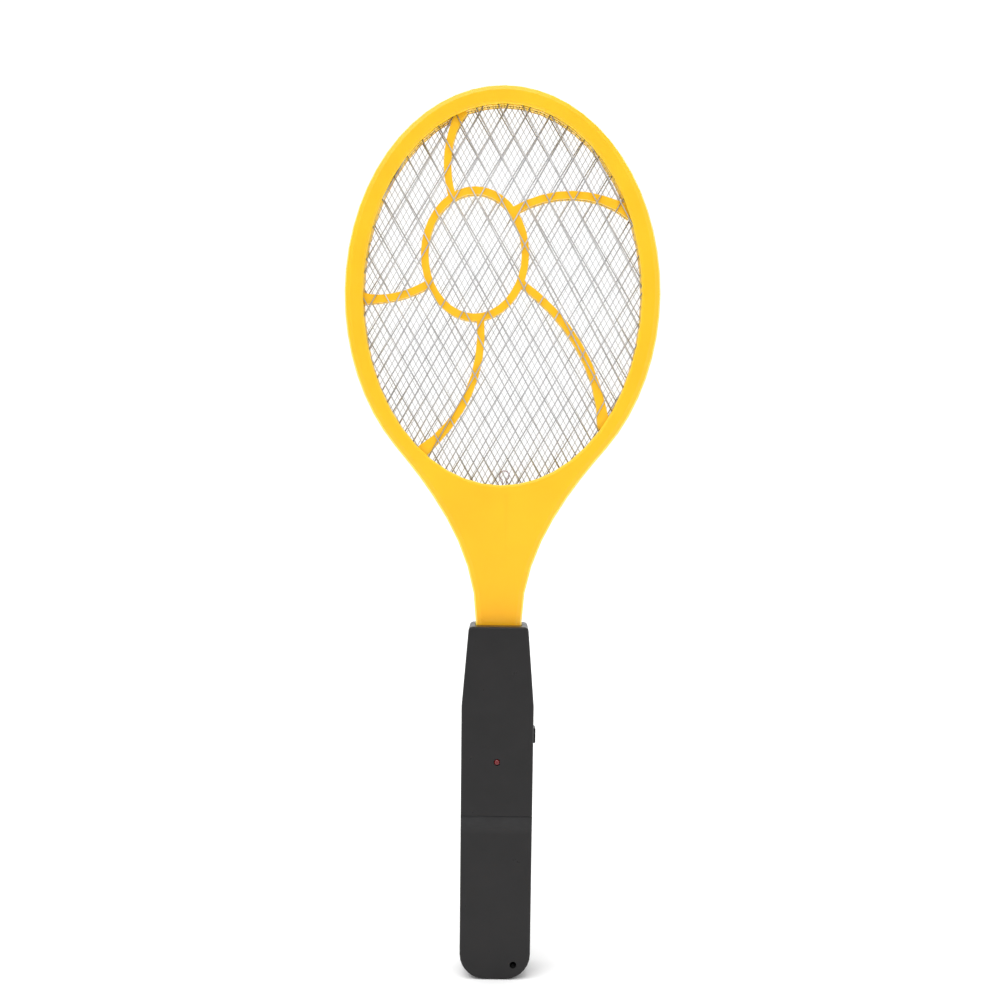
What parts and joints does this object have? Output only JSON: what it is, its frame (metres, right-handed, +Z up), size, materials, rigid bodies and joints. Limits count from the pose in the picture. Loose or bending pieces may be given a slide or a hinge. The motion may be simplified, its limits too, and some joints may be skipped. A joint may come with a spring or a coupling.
{
  "type": "electric fly swatter",
  "caption": "Racket-shaped electric fly swatter: wire grids in an oval frame on a battery handle with a side push button, a pilot light and a screwed battery cover.",
  "frame": {"origin": "foot end of the handle, on its centre line and on the plane where the case halves meet", "axes": "+Z up the swatter from the handle's foot to the top of the head; the front, with the pilot light and the battery cover, faces -Y; +X to the right seen from the front, where the push button is"},
  "size_m": [0.158, 0.0274, 0.443],
  "materials": {
    "yellow_plastic": "satin moulded",
    "black_plastic": "fine matt texture",
    "grid_wire": "bright drawn wire",
    "terminal_wire": "tinned copper wire",
    "steel": "plated",
    "contact_plate": "nickel plated",
    "button_plastic": "satin",
    "white_plastic": "satin",
    "component_black": "moulded epoxy",
    "led_lens": "clear tinted",
    "circuit_board": "lacquered laminate",
    "ferrite": "sintered ferrite",
    "winding_tape": "polyester tape",
    "film_capacitor": "dipped resin",
    "disc_capacitor": "dipped resin",
    "resistor_body": "lacquer",
    "cell_sleeve": "printed sleeve, left plain",
    "red_insulation": "soft vinyl",
    "black_insulation": "soft vinyl"
  },
  "bodies": {
    "swatter_body": {"front_frame": "yellow_plastic", "rear_frame": "yellow_plastic", "front_spacer": "yellow_plastic", "rear_spacer": "yellow_plastic", "front_grid": "grid_wire", "rear_grid": "grid_wire", "centre_grid": "grid_wire", "grid_terminal": "terminal_wire", "centre_grid_lead": "red_insulation", "outer_grid_lead": "black_insulation", "rim_screw_1": "steel", "rim_screw_2": "steel", "rim_screw_3": "steel", "rim_screw_4": "steel", "neck_screw": "steel", "case_screw_1": "steel", "case_screw_2": "steel", "board_screw_1": "steel", "board_screw_2": "steel", "handle_front_shell": "black_plastic", "handle_rear_shell": "black_plastic", "switch_body": "component_black", "indicator_led": "led_lens", "led_leg_1": "contact_plate", "led_leg_2": "contact_plate", "circuit_board": "circuit_board", "transformer_core": "ferrite", "transformer_winding": "winding_tape", "film_capacitor": "film_capacitor", "multiplier_capacitor_1": "disc_capacitor", "multiplier_capacitor_2": "disc_capacitor", "multiplier_capacitor_3": "disc_capacitor", "multiplier_diode_1": "component_black", "multiplier_diode_2": "component_black", "multiplier_diode_3": "component_black", "base_resistor": "resistor_body", "led_resistor": "resistor_body", "oscillator_transistor": "component_black", "battery_1": "cell_sleeve", "battery_2": "cell_sleeve", "bridge_contact": "contact_plate", "positive_contact": "contact_plate", "negative_contact": "contact_plate", "bridge_spring": "contact_plate", "negative_spring": "contact_plate", "battery_lead_positive": "red_insulation", "battery_lead_negative": "black_insulation"},
    "button_body": {"side_button": "button_plastic", "switch_plunger": "white_plastic"},
    "cover_body": {"battery_cover": "black_plastic"},
    "cover_screw_body": {"cover_screw": "steel"}
  },
  "joints": [
    {"name": "fire_button_press", "type": "slide", "parent": "swatter_body", "child": "button_body", "axis": [-1, 0, 0], "range_m": [0, 0.001], "stiffness_N_per_m": 800, "springref_m": -0.0005},
    {"name": "battery_cover_hinge", "type": "hinge", "parent": "swatter_body", "child": "cover_body", "pos_m": [0, -0.0127, 0.08], "axis": [-1, 0, 0], "range_deg": [0, 35]},
    {"name": "cover_screw_turn", "type": "hinge", "parent": "cover_body", "child": "cover_screw_body", "pos_m": [0.009, -0.0053, 0.0071], "axis": [0, -1, 0], "continuous": true}
  ]
}
